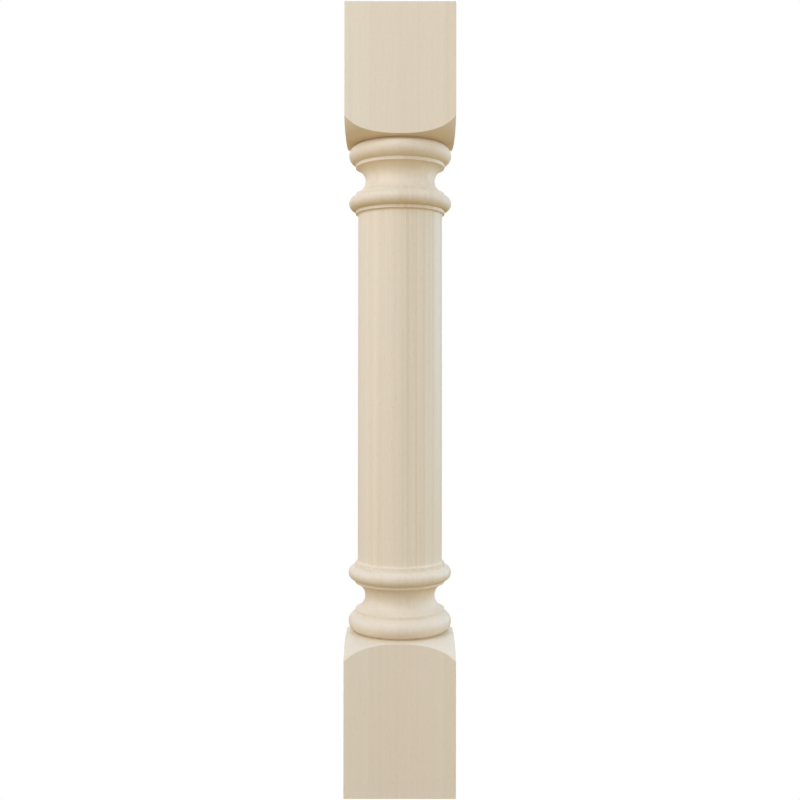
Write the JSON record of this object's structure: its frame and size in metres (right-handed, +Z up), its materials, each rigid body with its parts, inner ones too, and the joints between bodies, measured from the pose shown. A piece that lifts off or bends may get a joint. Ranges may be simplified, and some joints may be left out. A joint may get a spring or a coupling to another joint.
{
  "type": "cabinet column",
  "caption": "Square hardwood post turned to a plain round shaft with beads, fillets and coves between its square blocks; fixed at a cabinet's corner or under a worktop.",
  "frame": {"origin": "centre of the square foot, on the surface that the column stands on", "axes": "+Z up along the turning axis, from the taller block at the foot to the shorter block at the top; -Y out of the flat side that faces the room, +Y out of the flat side that meets the cabinet, +X to the right seen from the front"},
  "size_m": [0.127, 0.127, 0.9017],
  "materials": {
    "pale_hardwood": "bare sanded pale hardwood, fine straight grain along the column, matt, no stain or varnish"
  },
  "bodies": {
    "root": {"turned_column": "pale_hardwood"}
  },
  "joints": []
}
